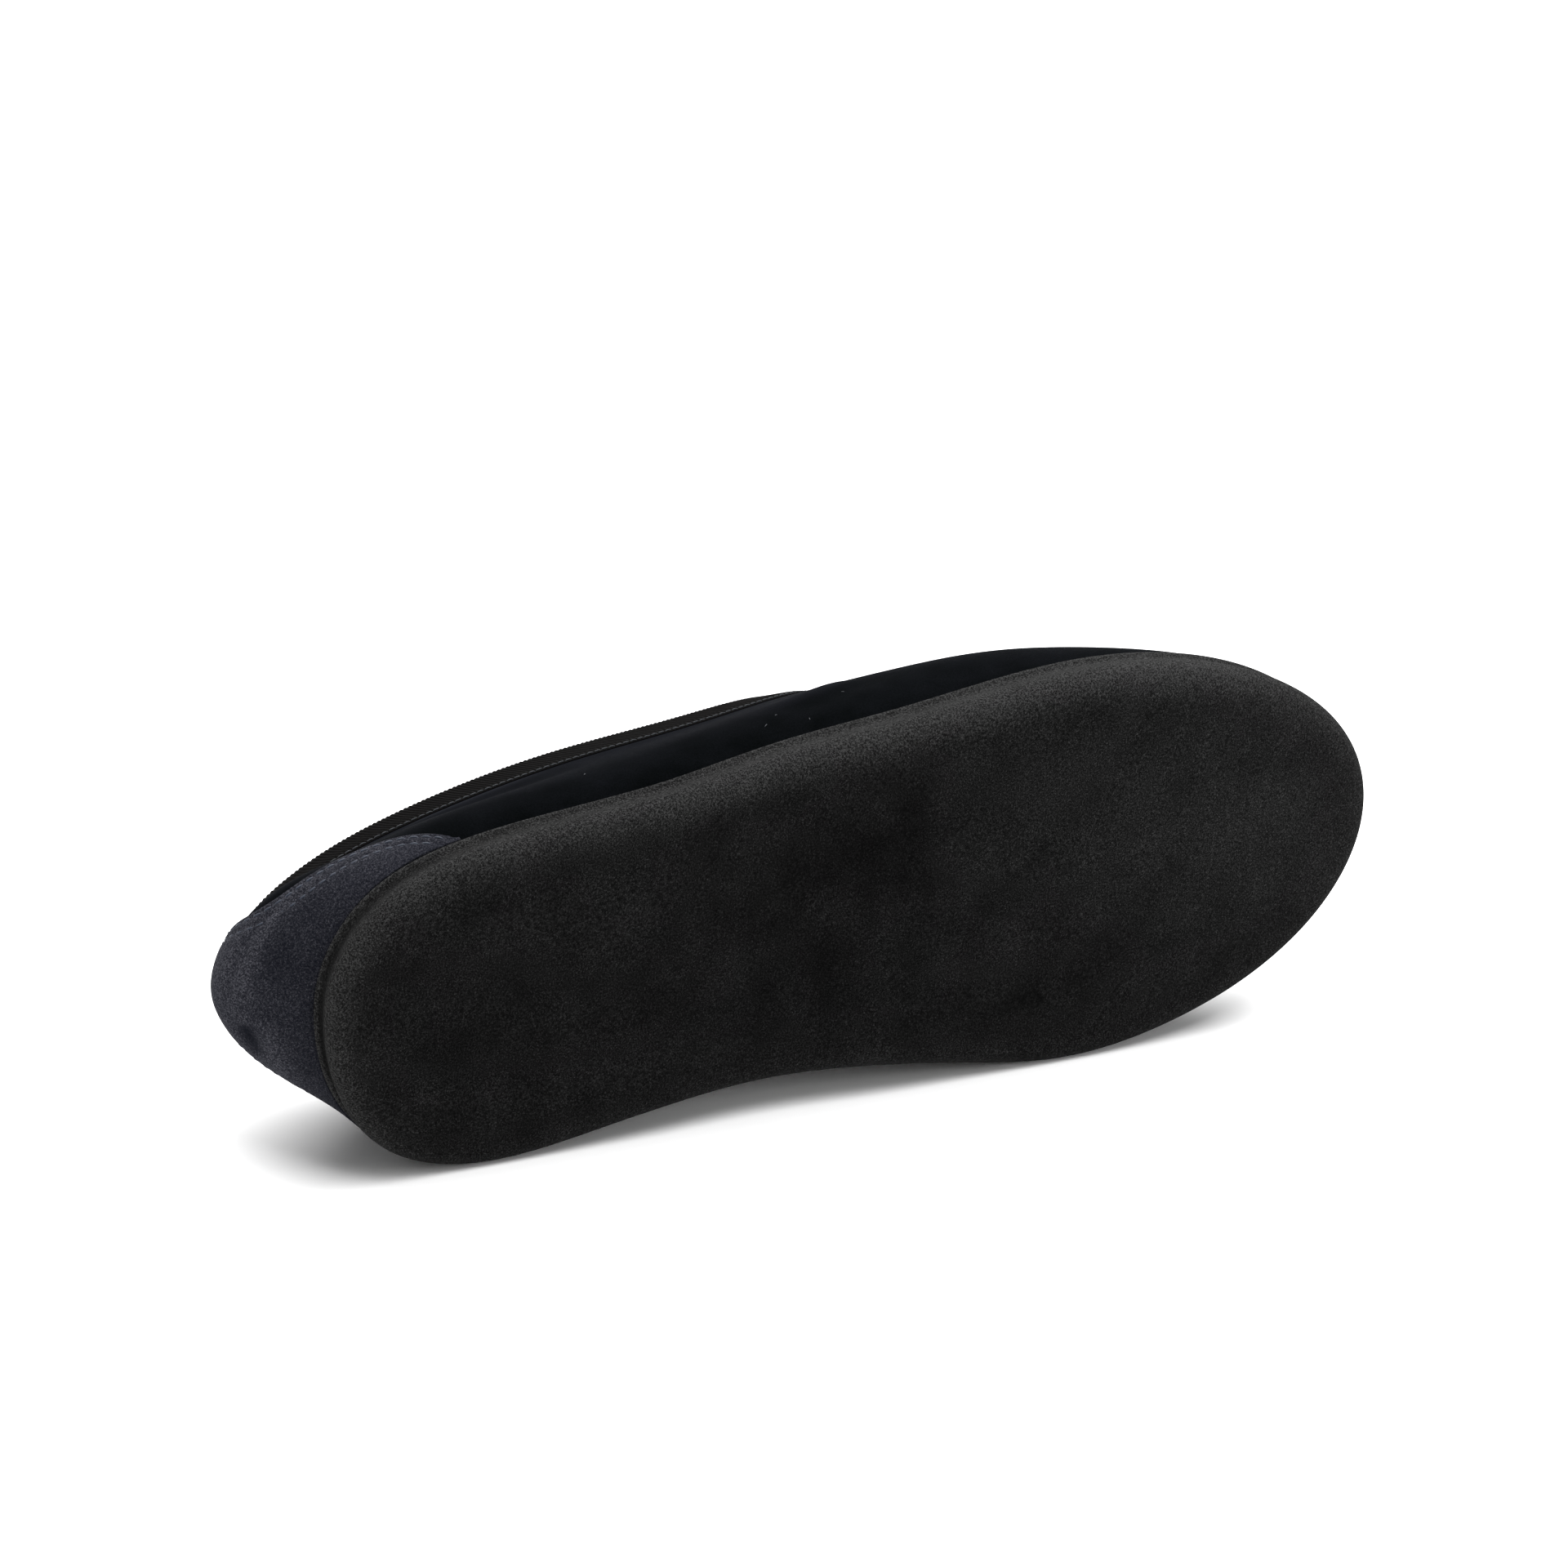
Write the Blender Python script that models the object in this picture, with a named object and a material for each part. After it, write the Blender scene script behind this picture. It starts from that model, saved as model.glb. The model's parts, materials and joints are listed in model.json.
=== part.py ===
"""Velvet slipper for the right foot, lying empty on its inner side.

The slipper is drawn standing on its tread: X runs from heel to toe, +Y is the inner side of the foot
and Z is up. One empty then lays every piece on the floor, on the edge of the sole and the side of the upper.
"""
import math

import bmesh
import bpy
import numpy as np
from mathutils import Matrix, Vector

MM = 0.001

# Driving sizes
LENGTH = 280 * MM
SOLE_THICKNESS = 11 * MM
TOE_SPRING = 6 * MM
TOE_SPRING_START = 0.66
ARCH_RISE = 1.5 * MM
ARCH_SPAN = (0.28, 0.54)
INSOLE_THICKNESS = 3 * MM
INSOLE_INSET = 4.8 * MM
UPPER_WALL = 2 * MM
FEATHER_INSET = 1.5 * MM
COUNTER_THICKNESS = 1.0 * MM
COUNTER_REACH = 35 * MM
COUNTER_RISE = 0.8
COUNTER_SIDE = 0.3
COUNTER_BACK = 0.18
COUNTER_CORNER = 5
COUNTER_TIP = 0.06
COUNTER_FOOT = 0.022
COUNTER_DROP = 0.6 * MM
RIBBON_WIDTH = 9.5 * MM
RIBBON_TURN_IN = 6 * MM
RIBBON_THICKNESS = 0.7 * MM
SOLE_WEIGHT_SHARE = 0.84
GAP = 0.35 * MM

# Mesh density
AROUND = 72
UP_THE_WALL = 12
ACROSS = 6
COUNTER_ROWS = 9
COUNTER_COLUMNS = 28
WIDTH_STEPS = 121
SMALL_STEP = 0.004

# Sole outline: share of the length, then the width to the inner and the outer side of the axis in mm
SOLE_SECTIONS = (
    ("station", "inner", "outer"),
    (0.00, 0.0, 0.0),
    (0.06, 35.0, 27.0),
    (0.18, 42.0, 35.0),
    (0.30, 38.0, 38.0),
    (0.42, 37.0, 42.5),
    (0.55, 40.5, 47.0),
    (0.68, 46.5, 50.5),
    (0.80, 44.0, 47.0),
    (0.92, 32.0, 33.0),
    (1.00, 0.0, 0.0),
)

# Side of the sole from tread to seam in mm: soft ridge below, sewn groove above
SOLE_SIDE = (
    ("inset", "height"),
    (5.0, 0.0),
    (2.4, 0.5),
    (0.7, 1.9),
    (0.0, 3.8),
    (0.5, 5.6),
    (1.7, 6.8),
    (2.1, 8.2),
    (1.6, 9.7),
    (0.6, 11.0),
)

# Ribs of the last, one for each station of the feather edge, in mm and degrees.
# top_x, top_mid, top_half and top_z place the topline; bulge and rise steer the wall's foot;
# lead and fall steer the wall where it runs into the topline.
UPPER_SECTIONS = (
    ("station", "top_x", "top_mid", "top_half", "top_z", "bulge_in", "bulge_out", "rise", "lead", "fall"),
    (0.00, 4.5, 1.0, 0.0, 49.5, 31.5, 31.5, 19.0, 18.0, 64.0),
    (0.06, 14.0, 1.5, 11.6, 49.8, -2.0, 9.0, 18.5, 19.0, 72.0),
    (0.11, 25.0, 2.5, 18.3, 50.0, 5.0, 5.0, 18.0, 19.5, 74.0),
    (0.18, 43.0, 3.5, 25.2, 50.5, 7.0, 4.0, 18.0, 20.0, 76.0),
    (0.30, 78.0, 1.5, 30.0, 51.5, 8.0, 4.0, 19.0, 20.0, 76.0),
    (0.42, 111.0, -0.5, 30.6, 53.0, 8.5, 4.0, 20.0, 20.0, 74.0),
    (0.55, 139.0, -1.3, 29.3, 58.0, 8.5, 3.0, 23.0, 24.0, 58.0),
    (0.68, 154.0, -1.0, 21.0, 65.0, 8.0, 0.0, 24.0, 32.0, 36.0),
    (0.80, 157.5, -0.5, 11.5, 68.0, 6.0, -0.5, 20.0, 42.0, 24.0),
    (0.92, 158.5, 0.0, 5.0, 69.0, 4.0, 0.0, 21.0, 50.0, 18.0),
    (1.00, 158.5, 0.0, 0.0, 69.0, 3.0, 3.0, 26.0, 52.0, 17.0),
)


def smooth_curve(knots, values, level_ends):
    """Cubic curve through one column of a table, its ends level or running straight out."""
    knots = np.asarray(knots, float)
    values = np.asarray(values, float)
    step = np.diff(knots)
    slope = np.diff(values) / step
    count = len(knots)
    system = np.eye(count)
    target = np.zeros(count)
    for row in range(1, count - 1):
        system[row, row - 1] = step[row - 1]
        system[row, row] = 2 * (step[row - 1] + step[row])
        system[row, row + 1] = step[row]
        target[row] = 6 * (slope[row] - slope[row - 1])
    if level_ends:
        system[0, :2] = (2 * step[0], step[0])
        target[0] = 6 * slope[0]
        system[-1, -2:] = (step[-1], 2 * step[-1])
        target[-1] = -6 * slope[-1]
    bend = np.linalg.solve(system, target)

    def read(at):
        piece = np.clip(np.searchsorted(knots, at) - 1, 0, count - 2)
        left = at - knots[piece]
        right = knots[piece + 1] - at
        width = step[piece]
        ends = (bend[piece] * right ** 3 + bend[piece + 1] * left ** 3) / (6 * width)
        start = (values[piece] / width - bend[piece] * width / 6) * right
        stop = (values[piece + 1] / width - bend[piece + 1] * width / 6) * left
        return ends + start + stop

    return read


def columns(table, scales, across):
    """Curves over the foot's angle for each column of a table; those across the foot run out at its ends."""
    names = table[0]
    rows = np.array(table[1:])
    knots = np.arccos(1 - 2 * rows[:, 0])
    curves = {}
    for index, name in enumerate(names[1:], start=1):
        curves[name] = smooth_curve(knots, rows[:, index] * scales.get(name, MM), name not in across)
    return curves


SOLE = columns(SOLE_SECTIONS, {}, ("inner", "outer"))
UPPER = columns(UPPER_SECTIONS, {"fall": math.radians(1)}, ("top_half",))


def foot_angle(turn):
    """Turn around the outline, 0 to 2 pi from heel to toe and back, as an angle from heel to toe."""
    turn = np.mod(turn, 2 * math.pi)
    return math.pi - np.abs(math.pi - turn), turn <= math.pi


def outline(turn, inset=0.0):
    """Plan of the sole at a turn, moved inward by an inset, with its outward direction."""
    def plain(at):
        angle, outer = foot_angle(at)
        along = LENGTH * (1 - np.cos(angle)) / 2
        aside = np.where(outer, -SOLE["outer"](angle), SOLE["inner"](angle))
        return np.stack([along, aside], -1)

    run = plain(turn + SMALL_STEP) - plain(turn - SMALL_STEP)
    run /= np.linalg.norm(run, axis=-1, keepdims=True)
    outward = np.stack([run[..., 1], -run[..., 0]], -1)
    return plain(turn) - inset * outward, outward


def tread_lift(along):
    """Height of the tread above the floor line: arch and toe spring."""
    share = along / LENGTH
    toe = np.clip((share - TOE_SPRING_START) / (1 - TOE_SPRING_START), 0, 1)
    waist = np.clip((share - ARCH_SPAN[0]) / (ARCH_SPAN[1] - ARCH_SPAN[0]), 0, 1)
    return TOE_SPRING * toe ** 2 + ARCH_RISE * np.sin(math.pi * waist) ** 2


def ring(turns, inset, height):
    """One closed ring of points around the sole."""
    plan, _ = outline(turns, inset)
    return np.column_stack([plan, height + tread_lift(plan[:, 0])])


def wall(turns, shares):
    """Outer face of the upper: share 0 is the feather edge on the sole, share 1 the topline."""
    turns, shares = np.broadcast_arrays(np.asarray(turns, float), np.asarray(shares, float))
    angle, outer = foot_angle(turns)
    column = {name: curve(angle) for name, curve in UPPER.items()}
    plan, outward = outline(turns, FEATHER_INSET)
    height = SOLE_THICKNESS + GAP + tread_lift(plan[..., 0])
    foot = np.concatenate([plan, height[..., None]], -1)
    side = np.where(outer, -1.0, 1.0)
    top = np.stack([column["top_x"], column["top_mid"] + side * column["top_half"], column["top_z"]], -1)
    bulge = np.where(outer, column["bulge_out"], column["bulge_in"])
    foot_steer = foot.copy()
    foot_steer[..., :2] += outward * bulge[..., None]
    foot_steer[..., 2] += column["rise"]
    away = foot[..., :2] - top[..., :2]
    away /= np.linalg.norm(away, axis=-1, keepdims=True)
    top_steer = top.copy()
    top_steer[..., :2] += away * (column["lead"] * np.cos(column["fall"]))[..., None]
    top_steer[..., 2] -= column["lead"] * np.sin(column["fall"])
    share = shares[..., None]
    rest = 1 - share
    return (rest ** 3 * foot + 3 * rest ** 2 * share * foot_steer
            + 3 * rest * share ** 2 * top_steer + share ** 3 * top)


def lifted(turns, shares, lift):
    """Face of the upper moved out along its own direction by a lift."""
    point = wall(turns, shares)
    along = wall(turns + SMALL_STEP, shares) - wall(turns - SMALL_STEP, shares)
    upward = wall(turns, shares + SMALL_STEP) - wall(turns, shares - SMALL_STEP)
    outward = np.cross(along, upward)
    outward /= np.linalg.norm(outward, axis=-1, keepdims=True)
    return point + outward * lift


def share_below_topline(turns, width):
    """Share up the wall that lies a given width below the topline."""
    steps = np.linspace(1, 0, WIDTH_STEPS)
    line = wall(turns[:, None], steps[None, :])
    length = np.linalg.norm(np.diff(line, axis=1), axis=2).cumsum(axis=1)
    return np.array([np.interp(width, row, steps[1:]) for row in length])


def around():
    """Turns of the mesh around the sole, closer together at heel and toe."""
    return np.arange(AROUND) * 2 * math.pi / AROUND


def make_material(name, colour, roughness):
    """Plain finish: a linear colour and a roughness."""
    material = bpy.data.materials.new(name)
    material.use_nodes = True
    shader = material.node_tree.nodes["Principled BSDF"]
    shader.inputs["Base Color"].default_value = (*colour, 1)
    shader.inputs["Roughness"].default_value = roughness
    shader.inputs["Metallic"].default_value = 0.0
    material.diffuse_color = (*colour, 1)
    return material


def make_piece(name, points, faces, material, parent):
    """Mesh object with its faces turned out, carried by the laying empty."""
    mesh = bpy.data.meshes.new(name)
    mesh.from_pydata([tuple(point) for point in points], [], faces)
    work = bmesh.new()
    work.from_mesh(mesh)
    bmesh.ops.recalc_face_normals(work, faces=work.faces)
    work.to_mesh(mesh)
    work.free()
    mesh.shade_smooth()
    mesh.materials.append(material)
    piece = bpy.data.objects.new(name, mesh)
    bpy.context.collection.objects.link(piece)
    piece.parent = parent
    return piece


def band_faces(rings, count, closed=True):
    """Four-sided faces between neighbouring rows of points."""
    faces = []
    last = count if closed else count - 1
    for row in range(rings - 1):
        for at in range(last):
            near = row * count + at
            side = row * count + (at + 1) % count
            faces.append((near, side, side + count, near + count))
    return faces


def cap(points, first, height):
    """Fill a ring with cross rows from its outer to its inner side; adds points and returns faces."""
    half = AROUND // 2
    rows = []
    for at in range(1, half):
        outer = first + at
        inner = first + AROUND - at
        row = [outer]
        for step in range(1, ACROSS):
            share = step / ACROSS
            middle = (1 - share) * points[outer] + share * points[inner]
            middle[2] = height + tread_lift(middle[0])
            row.append(len(points))
            points.append(middle)
        row.append(inner)
        rows.append(row)
    faces = []
    for near, far in zip(rows, rows[1:]):
        for step in range(ACROSS):
            faces.append((near[step], far[step], far[step + 1], near[step + 1]))
    for step in range(ACROSS):
        faces.append((first, rows[0][step], rows[0][step + 1]))
        faces.append((first + half, rows[-1][step], rows[-1][step + 1]))
    return faces


def slab(name, side, material, parent):
    """Closed slab with the sole's plan: rings up its side and a filled face below and above."""
    points = []
    for inset, height in side:
        points.extend(ring(around(), inset, height))
    faces = band_faces(len(side), AROUND)
    faces += cap(points, 0, side[0][1])
    faces += cap(points, (len(side) - 1) * AROUND, side[-1][1])
    return make_piece(name, points, faces, material, parent)


def make_sole(parent):
    """Padded sole: flat tread, soft ridge and the sewn groove under the upper."""
    side = [(inset * MM, height * MM) for inset, height in SOLE_SIDE[1:]]
    return slab("sole", side, make_material("black suede", (0.012, 0.012, 0.012), 0.9), parent)


def make_insole(parent):
    """Sock pad on the sole, inside the upper."""
    low = SOLE_THICKNESS + GAP
    side = [(INSOLE_INSET, low), (INSOLE_INSET, low + INSOLE_THICKNESS)]
    return slab("insole", side, make_material("sock lining", (0.02, 0.02, 0.022), 0.8), parent)


def shell(name, outer, inner, closed, material, parent):
    """Closed wall between an outer and an inner sheet of points, laid out in rows from sole to top."""
    rows, count = outer.shape[:2]
    half = rows * count
    faces = band_faces(rows, count, closed)
    faces += [tuple(half + at for at in face) for face in band_faces(rows, count, closed)]
    for row in (0, rows - 1):
        for at in range(count if closed else count - 1):
            near = row * count + at
            side = row * count + (at + 1) % count
            faces.append((near, side, half + side, half + near))
    if not closed:
        for at in (0, count - 1):
            for row in range(rows - 1):
                low = row * count + at
                faces.append((low, low + count, half + low + count, half + low))
    points = np.concatenate([outer.reshape(-1, 3), inner.reshape(-1, 3)])
    return make_piece(name, points, faces, material, parent)


def make_upper(parent):
    """Vamp and quarters: one wall, open at the topline and underneath, flat where it sits on the sole."""
    turns = around()[None, :]
    shares = np.linspace(0, 1, UP_THE_WALL + 1)[:, None]
    outer = wall(turns, shares)
    inner = lifted(turns, shares, -UPPER_WALL)
    inner[0, :, 2] = outer[0, :, 2]
    material = make_material("blue black velvet", (0.006, 0.007, 0.011), 0.95)
    return shell("upper", outer, inner, True, material, parent)


def counter_turns():
    """Turns around the heel that the counter covers, from its inner to its outer front end."""
    front = math.acos(1 - 2 * COUNTER_REACH / LENGTH)
    return np.linspace(-front, front, COUNTER_COLUMNS + 1)


def counter_edge(turns):
    """Share up the wall of the counter's top edge: a peak at the back, level sides and round front corners."""
    forward = np.abs(turns) / np.abs(turns).max()
    peak = (COUNTER_RISE - COUNTER_SIDE) * np.exp(-(forward / COUNTER_BACK) ** 2)
    level = COUNTER_SIDE * (1 - forward ** COUNTER_CORNER)
    return np.clip(peak + level, COUNTER_TIP, share_below_topline(turns, RIBBON_WIDTH + COUNTER_DROP))


def counter_face(lift):
    """Sheet of points of the counter, at a lift from the upper."""
    turns = counter_turns()
    rows = np.linspace(0, 1, COUNTER_ROWS + 1)[:, None]
    shares = COUNTER_FOOT + (counter_edge(turns)[None, :] - COUNTER_FOOT) * rows
    return lifted(turns[None, :], shares, lift)


def make_counter(parent):
    """Suede counter over the heel, its top edge sloping down to the sole at both sides."""
    outer = counter_face(GAP + COUNTER_THICKNESS)
    inner = counter_face(GAP)
    material = make_material("navy suede", (0.03, 0.03, 0.04), 0.9)
    return shell("heel_counter", outer, inner, False, material, parent)


def ribbon_rows():
    """Rows of points along the ribbon: down its outer leg, over the topline and up its inner leg."""
    turns = around()
    low = share_below_topline(turns, RIBBON_WIDTH)
    turn_in = share_below_topline(turns, RIBBON_TURN_IN)
    top = np.ones_like(turns)
    middle = (low + top) / 2
    near = GAP
    far = GAP + RIBBON_THICKNESS
    back = -UPPER_WALL - GAP
    deep = back - RIBBON_THICKNESS
    over = wall(turns, top) - wall(turns, top - SMALL_STEP)
    over /= np.linalg.norm(over, axis=1, keepdims=True)
    return [
        lifted(turns, low, near),
        lifted(turns, low, far),
        lifted(turns, middle, far),
        lifted(turns, top, far) + over * near,
        lifted(turns, top, (near + back) / 2) + over * far,
        lifted(turns, top, deep) + over * near,
        lifted(turns, turn_in, deep),
        lifted(turns, turn_in, back),
        lifted(turns, top, back) + over * near,
        lifted(turns, top, near) + over * near,
        lifted(turns, middle, near),
    ]


def make_ribbon(parent):
    """Ribbed ribbon folded over the topline, one closed loop around the collar."""
    rows = ribbon_rows()
    rows.append(rows[0])
    count = AROUND
    total = count * (len(rows) - 1)
    faces = [tuple(at % total for at in face) for face in band_faces(len(rows), count)]
    material = make_material("black grosgrain", (0.01, 0.009, 0.009), 0.6)
    return make_piece("collar_ribbon", np.concatenate(rows[:-1]), faces, material, parent)


def outer_points():
    """Points of the outside of the slipper, for the way it lies."""
    points = [ring(around(), inset * MM, height * MM) for inset, height in SOLE_SIDE[1:]]
    points += [wall(around(), share) for share in np.linspace(0, 1, UP_THE_WALL + 1)]
    points.append(counter_face(GAP + COUNTER_THICKNESS).reshape(-1, 3))
    points += ribbon_rows()
    return np.concatenate(points)


def resting_face(points, centre):
    """Flat face of the wrapped outside that carries the slipper on its inner side."""
    work = bmesh.new()
    for point in points:
        work.verts.new(point)
    bmesh.ops.convex_hull(work, input=work.verts)
    bmesh.ops.recalc_face_normals(work, faces=work.faces)
    inner_side = Vector((0, 1, 0))
    best = None
    for face in work.faces:
        corner = face.verts[0].co
        drop = (corner - centre).dot(face.normal)
        foot = centre + face.normal * drop
        inside = True
        for loop in face.loops:
            start = loop.vert.co
            run = loop.link_loop_next.vert.co - start
            if run.cross(foot - start).dot(face.normal) < 0:
                inside = False
        if inside and (best is None or face.normal.dot(inner_side) > best.dot(inner_side)):
            best = face.normal.copy()
    work.free()
    return best


def laying_matrix():
    """Turn that puts the resting face on the floor, toe along +X, and sets the origin under the middle."""
    points = outer_points()
    in_sole = points[:, 2] < SOLE_THICKNESS
    balance = SOLE_WEIGHT_SHARE * points[in_sole].mean(axis=0)
    balance += (1 - SOLE_WEIGHT_SHARE) * points[~in_sole].mean(axis=0)
    centre = Vector(balance)
    down = resting_face(points, centre)
    up = -down
    ahead = Vector((1, 0, 0))
    ahead = (ahead - up * ahead.dot(up)).normalized()
    aside = up.cross(ahead)
    turn = Matrix((ahead, aside, up))
    placed = points @ np.array(turn).T
    low = placed.min(axis=0)
    high = placed.max(axis=0)
    shift = Vector((-(low[0] + high[0]) / 2, -(low[1] + high[1]) / 2, -low[2]))
    return Matrix.Translation(shift) @ turn.to_4x4()


def main():
    """Clear the scene, lay the empty and make every piece under it."""
    for item in list(bpy.data.objects):
        bpy.data.objects.remove(item, do_unlink=True)
    slipper = bpy.data.objects.new("slipper", None)
    bpy.context.collection.objects.link(slipper)
    slipper.matrix_world = laying_matrix()
    make_sole(slipper)
    make_insole(slipper)
    make_upper(slipper)
    make_counter(slipper)
    make_ribbon(slipper)


main()
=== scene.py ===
"""Looks of a velvet slipper for the right foot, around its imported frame.

The file is laid out as a Blender add-on and is run as a script. The slipper is drawn standing on its
tread, X from heel to toe, +Y to the inner side of the foot and Z up, and every piece is then laid on
its inner side as the frame's own mount says.
"""
import json
import math

import bmesh
import bpy
import numpy as np
from bpy.props import FloatProperty, FloatVectorProperty, PointerProperty
from mathutils import Matrix, Vector


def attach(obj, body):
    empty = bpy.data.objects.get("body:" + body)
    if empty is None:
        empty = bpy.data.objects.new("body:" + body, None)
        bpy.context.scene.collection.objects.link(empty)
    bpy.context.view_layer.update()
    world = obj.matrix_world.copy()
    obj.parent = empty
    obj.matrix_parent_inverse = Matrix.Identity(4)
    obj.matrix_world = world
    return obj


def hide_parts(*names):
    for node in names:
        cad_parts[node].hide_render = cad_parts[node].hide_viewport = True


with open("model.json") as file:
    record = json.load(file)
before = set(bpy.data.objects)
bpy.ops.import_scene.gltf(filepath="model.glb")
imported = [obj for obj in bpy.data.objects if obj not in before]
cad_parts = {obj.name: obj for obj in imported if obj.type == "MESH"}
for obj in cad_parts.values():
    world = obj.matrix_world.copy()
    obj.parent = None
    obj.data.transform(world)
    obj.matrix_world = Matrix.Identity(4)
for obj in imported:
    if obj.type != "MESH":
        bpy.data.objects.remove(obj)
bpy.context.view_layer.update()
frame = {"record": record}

bl_info = {
    "name": "Velvet slipper looks",
    "version": (1, 0, 0),
    "blender": (4, 5, 0),
    "location": "View3D > Sidebar > Slipper",
    "description": "Dresses the packed slipper in suede, velvet and ribbon and sets its stage",
    "category": "Object",
}

MM = 0.001

# Driving sizes of the last, the sole and the trim
LENGTH = 280 * MM
SOLE_THICKNESS = 11 * MM
TOE_SPRING = 6 * MM
TOE_SPRING_START = 0.66
ARCH_RISE = 1.5 * MM
ARCH_SPAN = (0.28, 0.54)
INSOLE_THICKNESS = 3 * MM
INSOLE_INSET = 4.8 * MM
UPPER_WALL = 2 * MM
FEATHER_INSET = 1.5 * MM
COUNTER_THICKNESS = 1.0 * MM
COUNTER_REACH = 35 * MM
COUNTER_RISE = 0.8
COUNTER_SIDE = 0.25
COUNTER_BACK = 0.2
COUNTER_CORNER = 8
COUNTER_TIP = 0.02
COUNTER_FOOT = 0.002
COUNTER_DROP = 0.6 * MM
RIBBON_WIDTH = 9.5 * MM
RIBBON_TURN_IN = 6 * MM
RIBBON_THICKNESS = 0.7 * MM
GAP = 0.35 * MM

# Point of the heel's tread where the frame's mount sits, in the shoe's own frame
HEEL_TREAD = np.array([50, 3, 0]) * MM

# Mesh density
SOLE_AROUND = 480
SOLE_ACROSS = 90
SOLE_UP = 40
WALL_AROUND = 400
WALL_UP = 72
COUNTER_AROUND = 260
COUNTER_UP = 64
INSOLE_AROUND = 240
INSOLE_ACROSS = 30
RIB_STEPS = 6
FOLD_STEPS = 7
WIDTH_STEPS = 121
CREASE_STEPS = 61
EDGE_STEPS = 401
SEAM_STEPS = 1201
TOPLINE_STEPS = 4001
STITCH_RINGS = 7
STITCH_SIDES = 6
LINT_STEPS = 9
SMALL_STEP = 0.004

# Sole outline: share of the length, then the width to the inner and the outer side of the axis in mm
SOLE_SECTIONS = (
    ("station", "inner", "outer"),
    (0.00, 0.0, 0.0),
    (0.06, 35.0, 27.0),
    (0.18, 42.0, 35.0),
    (0.30, 38.0, 38.0),
    (0.42, 37.0, 42.5),
    (0.55, 40.5, 47.0),
    (0.68, 46.5, 50.5),
    (0.80, 44.0, 47.0),
    (0.92, 32.0, 33.0),
    (1.00, 0.0, 0.0),
)

# Side of the sole from tread to seam in mm, with its tone: soft ridge, sewn groove, rolled edge. The tone is
# painted light: painted highlight on the ridge and the rolled edge, painted shade in the groove
SOLE_SIDE = (
    ("inset", "height", "tone"),
    (6.5, 0.0, 0.0),
    (4.4, 0.05, 0.0),
    (2.4, 0.5, 0.04),
    (0.7, 1.9, 0.14),
    (0.0, 3.8, 0.16),
    (0.3, 5.4, 0.02),
    (0.9, 6.8, -0.12),
    (1.3, 8.2, -0.16),
    (1.2, 9.4, -0.12),
    (0.75, 10.0, 0.12),
    (0.45, 10.5, 0.34),
    (0.5, 10.85, 0.34),
    (1.2, 11.0, 0.0),
)

# Ribs of the last, one for each station of the feather edge, in mm and degrees.
# top_x, top_mid, top_half and top_z place the topline; bulge and rise steer the wall's foot;
# lead and fall steer the wall where it runs into the topline.
UPPER_SECTIONS = (
    ("station", "top_x", "top_mid", "top_half", "top_z", "bulge_in", "bulge_out", "rise", "lead", "fall"),
    (0.00, 4.5, 1.0, 0.0, 49.5, 31.5, 31.5, 19.0, 18.0, 64.0),
    (0.06, 14.0, 1.5, 11.6, 49.8, -2.0, 9.0, 18.5, 19.0, 72.0),
    (0.11, 25.0, 2.5, 18.3, 50.0, 5.0, 5.0, 18.0, 19.5, 74.0),
    (0.18, 43.0, 3.5, 25.2, 50.5, 7.0, 4.0, 18.0, 20.0, 76.0),
    (0.30, 78.0, 1.5, 30.0, 51.5, 8.0, 4.0, 19.0, 20.0, 76.0),
    (0.42, 111.0, -0.5, 30.6, 53.0, 8.5, 4.0, 20.0, 20.0, 74.0),
    (0.55, 139.0, -1.3, 29.3, 58.0, 8.5, 3.0, 23.0, 24.0, 58.0),
    (0.68, 154.0, -1.0, 21.0, 65.0, 8.0, 0.0, 24.0, 32.0, 36.0),
    (0.80, 157.5, -0.5, 11.5, 68.0, 6.0, -0.5, 20.0, 42.0, 24.0),
    (0.92, 158.5, 0.0, 5.0, 69.0, 4.0, 0.0, 21.0, 50.0, 18.0),
    (1.00, 158.5, 0.0, 0.0, 69.0, 3.0, 3.0, 26.0, 52.0, 17.0),
)

# Creases of the velvet: degrees around from the heel's back and share up the wall at three points,
# then half width and height in mm; a negative height is a trough
CREASE_COLUMNS = ("around_a", "up_a", "around_b", "up_b", "around_c", "up_c", "width", "height")
VELVET_CREASES = (
    CREASE_COLUMNS,
    (46, 0.80, 54, 0.70, 64, 0.80, 2.6, 0.9),
    (45, 0.66, 54, 0.56, 66, 0.66, 4.0, -0.7),
    (84, 0.36, 89, 0.42, 96, 0.58, 4.0, 0.7),
    (84, 0.22, 90, 0.28, 98, 0.42, 5.0, -0.6),
    (118, 0.62, 130, 0.52, 142, 0.56, 9.0, 0.6),
    (238, 0.56, 228, 0.50, 214, 0.58, 9.0, 0.6),
    (300, 0.78, 308, 0.70, 318, 0.80, 3.0, 0.8),
    (300, 0.62, 308, 0.54, 318, 0.62, 4.5, -0.7),
)

# Slack of the velvet: its height, and waves around, up and their start; then the lining's distance from it
SLACK = 0.16 * MM
SLACK_WAVES = ((7, 4, 0), (11, -6, 1))
LINING_GAP = 0.05 * MM

# Lint on the velvet: degrees around and share up the wall, turn in degrees and length in mm
LINT = (
    ("around", "up", "turn", "length"),
    (80.9, 0.16, 35, 1.3),
    (75.9, 0.08, -20, 1.0),
    (84.9, 0.11, 70, 0.9),
    (83.0, 0.24, 10, 0.7),
    (91.5, 0.33, -50, 0.8),
    (62.0, 0.30, 25, 0.7),
    (104.0, 0.20, 60, 0.9),
    (131.0, 0.42, 15, 0.8),
    (214.0, 0.48, -30, 1.0),
    (262.0, 0.40, 40, 0.8),
)
LINT_WIDTH = 0.18 * MM
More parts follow.
